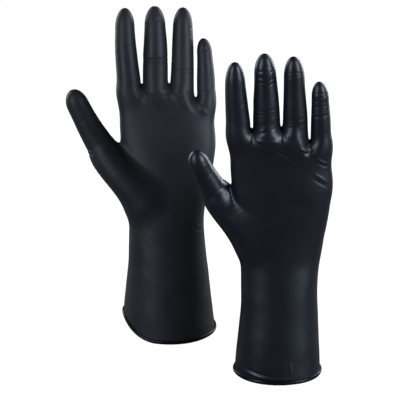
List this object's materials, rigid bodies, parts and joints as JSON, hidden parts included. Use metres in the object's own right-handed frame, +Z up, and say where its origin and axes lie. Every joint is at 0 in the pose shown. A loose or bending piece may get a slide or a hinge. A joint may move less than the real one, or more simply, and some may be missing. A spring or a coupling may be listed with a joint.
{
  "type": "electrical insulating gloves",
  "caption": "Pair of long black insulating rubber gloves, left and right, standing on rolled cuffs, with jointed wrists, fingers and thumbs.",
  "frame": {"origin": "on the surface that the pair stands on, in the middle of the pair's box", "axes": "+Z up along the gloves, +X from the left glove to the right glove, +Y from the right glove to the left glove; the left palm faces -Y and the right palm faces +Y"},
  "size_m": [0.2489, 0.1792, 0.3229],
  "materials": {
    "left_rubber": "satin black",
    "right_rubber": "satin blue-black",
    "left_roll": "satin black",
    "right_roll": "satin black"
  },
  "bodies": {
    "left_cuff": {"left_cuff": "left_rubber", "left_cuff_roll": "left_roll", "left_wrist_band": "left_rubber"},
    "left_hand": {"left_hand": "left_rubber"},
    "left_thumb_base": {"left_thumb_base": "left_rubber"},
    "left_thumb_tip": {"left_thumb_tip": "left_rubber"},
    "left_index_base": {"left_index_base": "left_rubber"},
    "left_index_middle": {"left_index_middle": "left_rubber"},
    "left_index_tip": {"left_index_tip": "left_rubber"},
    "left_middle_base": {"left_middle_base": "left_rubber"},
    "left_middle_middle": {"left_middle_middle": "left_rubber"},
    "left_middle_tip": {"left_middle_tip": "left_rubber"},
    "left_ring_base": {"left_ring_base": "left_rubber"},
    "left_ring_middle": {"left_ring_middle": "left_rubber"},
    "left_ring_tip": {"left_ring_tip": "left_rubber"},
    "left_little_base": {"left_little_base": "left_rubber"},
    "left_little_middle": {"left_little_middle": "left_rubber"},
    "left_little_tip": {"left_little_tip": "left_rubber"},
    "right_cuff": {"right_cuff": "right_rubber", "right_cuff_roll": "right_roll", "right_wrist_band": "right_rubber"},
    "right_hand": {"right_hand": "right_rubber"},
    "right_thumb_base": {"right_thumb_base": "right_rubber"},
    "right_thumb_tip": {"right_thumb_tip": "right_rubber"},
    "right_index_base": {"right_index_base": "right_rubber"},
    "right_index_middle": {"right_index_middle": "right_rubber"},
    "right_index_tip": {"right_index_tip": "right_rubber"},
    "right_middle_base": {"right_middle_base": "right_rubber"},
    "right_middle_middle": {"right_middle_middle": "right_rubber"},
    "right_middle_tip": {"right_middle_tip": "right_rubber"},
    "right_ring_base": {"right_ring_base": "right_rubber"},
    "right_ring_middle": {"right_ring_middle": "right_rubber"},
    "right_ring_tip": {"right_ring_tip": "right_rubber"},
    "right_little_base": {"right_little_base": "right_rubber"},
    "right_little_middle": {"right_little_middle": "right_rubber"},
    "right_little_tip": {"right_little_tip": "right_rubber"}
  },
  "joints": [
    {"name": "left_wrist_bend", "type": "hinge", "parent": "left_cuff", "child": "left_hand", "pos_m": [-0.0249, 0.0468, 0.118], "axis": [1, 0, 0], "range_deg": [-40, 40], "stiffness_Nm_per_rad": 1, "deforming": ["left_wrist_band"]},
    {"name": "left_thumb_root_bend", "type": "hinge", "parent": "left_hand", "child": "left_thumb_base", "pos_m": [-0.08808, 0.04315, 0.19697], "axis": [0.7565, 0.483, 0.4409], "range_deg": [0, 35], "stiffness_Nm_per_rad": 0.08},
    {"name": "left_thumb_tip_bend", "type": "hinge", "parent": "left_thumb_base", "child": "left_thumb_tip", "pos_m": [-0.10345, 0.04467, 0.22167], "axis": [0.7565, 0.483, 0.4409], "range_deg": [0, 60], "stiffness_Nm_per_rad": 0.03},
    {"name": "left_index_root_bend", "type": "hinge", "parent": "left_hand", "child": "left_index_base", "pos_m": [-0.06411, 0.05941, 0.25403], "axis": [0.9991, 0.0074, 0.0422], "range_deg": [0, 90], "stiffness_Nm_per_rad": 0.05},
    {"name": "left_index_middle_bend", "type": "hinge", "parent": "left_index_base", "child": "left_index_middle", "pos_m": [-0.06501, 0.06375, 0.27459], "axis": [0.9991, 0.0074, 0.0422], "range_deg": [0, 90], "stiffness_Nm_per_rad": 0.03},
    {"name": "left_index_tip_bend", "type": "hinge", "parent": "left_index_middle", "child": "left_index_tip", "pos_m": [-0.06603, 0.06857, 0.2979], "axis": [0.9991, 0.0074, 0.0422], "range_deg": [0, 54], "stiffness_Nm_per_rad": 0.02},
    {"name": "left_middle_root_bend", "type": "hinge", "parent": "left_hand", "child": "left_middle_base", "pos_m": [-0.0372, 0.0589, 0.25513], "axis": [1, 0, 0], "range_deg": [0, 90], "stiffness_Nm_per_rad": 0.05},
    {"name": "left_middle_middle_bend", "type": "hinge", "parent": "left_middle_base", "child": "left_middle_middle", "pos_m": [-0.0372, 0.06309, 0.27602], "axis": [1, 0, 0], "range_deg": [0, 90], "stiffness_Nm_per_rad": 0.03},
    {"name": "left_middle_tip_bend", "type": "hinge", "parent": "left_middle_middle", "child": "left_middle_tip", "pos_m": [-0.0372, 0.06817, 0.29964], "axis": [1, 0, 0], "range_deg": [0, 54], "stiffness_Nm_per_rad": 0.02},
    {"name": "left_ring_root_bend", "type": "hinge", "parent": "left_hand", "child": "left_ring_base", "pos_m": [-0.0118, 0.05941, 0.25403], "axis": [1, -0.0017, -0.0098], "range_deg": [0, 90], "stiffness_Nm_per_rad": 0.05},
    {"name": "left_ring_middle_bend", "type": "hinge", "parent": "left_ring_base", "child": "left_ring_middle", "pos_m": [-0.01159, 0.06368, 0.27475], "axis": [1, -0.0017, -0.0098], "range_deg": [0, 90], "stiffness_Nm_per_rad": 0.03},
    {"name": "left_ring_tip_bend", "type": "hinge", "parent": "left_ring_middle", "child": "left_ring_tip", "pos_m": [-0.01135, 0.06882, 0.29818], "axis": [1, -0.0017, -0.0098], "range_deg": [0, 54], "stiffness_Nm_per_rad": 0.02},
    {"name": "left_little_root_bend", "type": "hinge", "parent": "left_hand", "child": "left_little_base", "pos_m": [0.01129, 0.05999, 0.2458], "axis": [0.9993, 0.0063, 0.0358], "range_deg": [0, 90], "stiffness_Nm_per_rad": 0.04},
    {"name": "left_little_middle_bend", "type": "hinge", "parent": "left_little_base", "child": "left_little_middle", "pos_m": [0.01076, 0.06316, 0.26032], "axis": [0.9993, 0.0063, 0.0358], "range_deg": [0, 90], "stiffness_Nm_per_rad": 0.03},
    {"name": "left_little_tip_bend", "type": "hinge", "parent": "left_little_middle", "child": "left_little_tip", "pos_m": [0.01014, 0.06687, 0.27676], "axis": [0.9993, 0.0063, 0.0358], "range_deg": [0, 54], "stiffness_Nm_per_rad": 0.02},
    {"name": "right_glove_lift", "type": "slide", "parent": "left_cuff", "child": "right_cuff", "axis": [0, 0, 1], "range_m": [0, 0.35]},
    {"name": "right_wrist_bend", "type": "hinge", "parent": "right_cuff", "child": "right_hand", "pos_m": [0.0794, -0.0472, 0.1156], "axis": [1, 0, 0], "range_deg": [-40, 40], "stiffness_Nm_per_rad": 1, "deforming": ["right_wrist_band"]},
    {"name": "right_thumb_root_bend", "type": "hinge", "parent": "right_hand", "child": "right_thumb_base", "pos_m": [0.0231, -0.04259, 0.18903], "axis": [-0.8483, 0.4756, -0.2328], "range_deg": [0, 35], "stiffness_Nm_per_rad": 0.08},
    {"name": "right_thumb_tip_bend", "type": "hinge", "parent": "right_thumb_base", "child": "right_thumb_tip", "pos_m": [0.01237, -0.05187, 0.20917], "axis": [-0.8483, 0.4756, -0.2328], "range_deg": [0, 60], "stiffness_Nm_per_rad": 0.03},
    {"name": "right_index_root_bend", "type": "hinge", "parent": "right_hand", "child": "right_index_base", "pos_m": [0.03979, -0.06016, 0.2536], "axis": [-0.9979, 0.0113, -0.0639], "range_deg": [0, 90], "stiffness_Nm_per_rad": 0.05},
    {"name": "right_index_middle_bend", "type": "hinge", "parent": "right_index_base", "child": "right_index_middle", "pos_m": [0.03862, -0.06398, 0.2712], "axis": [-0.9979, 0.0113, -0.0639], "range_deg": [0, 90], "stiffness_Nm_per_rad": 0.03},
    {"name": "right_index_tip_bend", "type": "hinge", "parent": "right_index_middle", "child": "right_index_tip", "pos_m": [0.03729, -0.06821, 0.29117], "axis": [-0.9979, 0.0113, -0.0639], "range_deg": [0, 54], "stiffness_Nm_per_rad": 0.02},
    {"name": "right_middle_root_bend", "type": "hinge", "parent": "right_hand", "child": "right_middle_base", "pos_m": [0.06469, -0.05947, 0.25372], "axis": [-0.9989, 0.008, -0.0455], "range_deg": [0, 90], "stiffness_Nm_per_rad": 0.05},
    {"name": "right_middle_middle_bend", "type": "hinge", "parent": "right_middle_base", "child": "right_middle_middle", "pos_m": [0.06376, -0.06345, 0.27342], "axis": [-0.9989, 0.008, -0.0455], "range_deg": [0, 90], "stiffness_Nm_per_rad": 0.03},
    {"name": "right_middle_tip_bend", "type": "hinge", "parent": "right_middle_middle", "child": "right_middle_tip", "pos_m": [0.06271, -0.06829, 0.2957], "axis": [-0.9989, 0.008, -0.0455], "range_deg": [0, 54], "stiffness_Nm_per_rad": 0.02},
    {"name": "right_ring_root_bend", "type": "hinge", "parent": "right_hand", "child": "right_ring_base", "pos_m": [0.08969, -0.05999, 0.25261], "axis": [-0.9984, 0.0097, -0.0551], "range_deg": [0, 90], "stiffness_Nm_per_rad": 0.05},
    {"name": "right_ring_middle_bend", "type": "hinge", "parent": "right_ring_base", "child": "right_ring_middle", "pos_m": [0.08858, -0.06402, 0.27201], "axis": [-0.9984, 0.0097, -0.0551], "range_deg": [0, 90], "stiffness_Nm_per_rad": 0.03},
    {"name": "right_ring_tip_bend", "type": "hinge", "parent": "right_ring_middle", "child": "right_ring_tip", "pos_m": [0.08732, -0.0689, 0.29393], "axis": [-0.9984, 0.0097, -0.0551], "range_deg": [0, 54], "stiffness_Nm_per_rad": 0.02},
    {"name": "right_little_root_bend", "type": "hinge", "parent": "right_hand", "child": "right_little_base", "pos_m": [0.11279, -0.06039, 0.2434], "axis": [-0.9975, 0.0123, -0.07], "range_deg": [0, 90], "stiffness_Nm_per_rad": 0.04},
    {"name": "right_little_middle_bend", "type": "hinge", "parent": "right_little_base", "child": "right_little_middle", "pos_m": [0.11171, -0.06361, 0.25822], "axis": [-0.9975, 0.0123, -0.07], "range_deg": [0, 90], "stiffness_Nm_per_rad": 0.03},
    {"name": "right_little_tip_bend", "type": "hinge", "parent": "right_little_middle", "child": "right_little_tip", "pos_m": [0.11048, -0.06738, 0.27499], "axis": [-0.9975, 0.0123, -0.07], "range_deg": [0, 54], "stiffness_Nm_per_rad": 0.02}
  ],
  "couplings": [
    {"joint": "left_index_tip_bend", "follows": "left_index_middle_bend", "ratio": 0.6},
    {"joint": "left_middle_tip_bend", "follows": "left_middle_middle_bend", "ratio": 0.6},
    {"joint": "left_ring_tip_bend", "follows": "left_ring_middle_bend", "ratio": 0.6},
    {"joint": "left_little_tip_bend", "follows": "left_little_middle_bend", "ratio": 0.6},
    {"joint": "right_index_tip_bend", "follows": "right_index_middle_bend", "ratio": 0.6},
    {"joint": "right_middle_tip_bend", "follows": "right_middle_middle_bend", "ratio": 0.6},
    {"joint": "right_ring_tip_bend", "follows": "right_ring_middle_bend", "ratio": 0.6},
    {"joint": "right_little_tip_bend", "follows": "right_little_middle_bend", "ratio": 0.6}
  ]
}
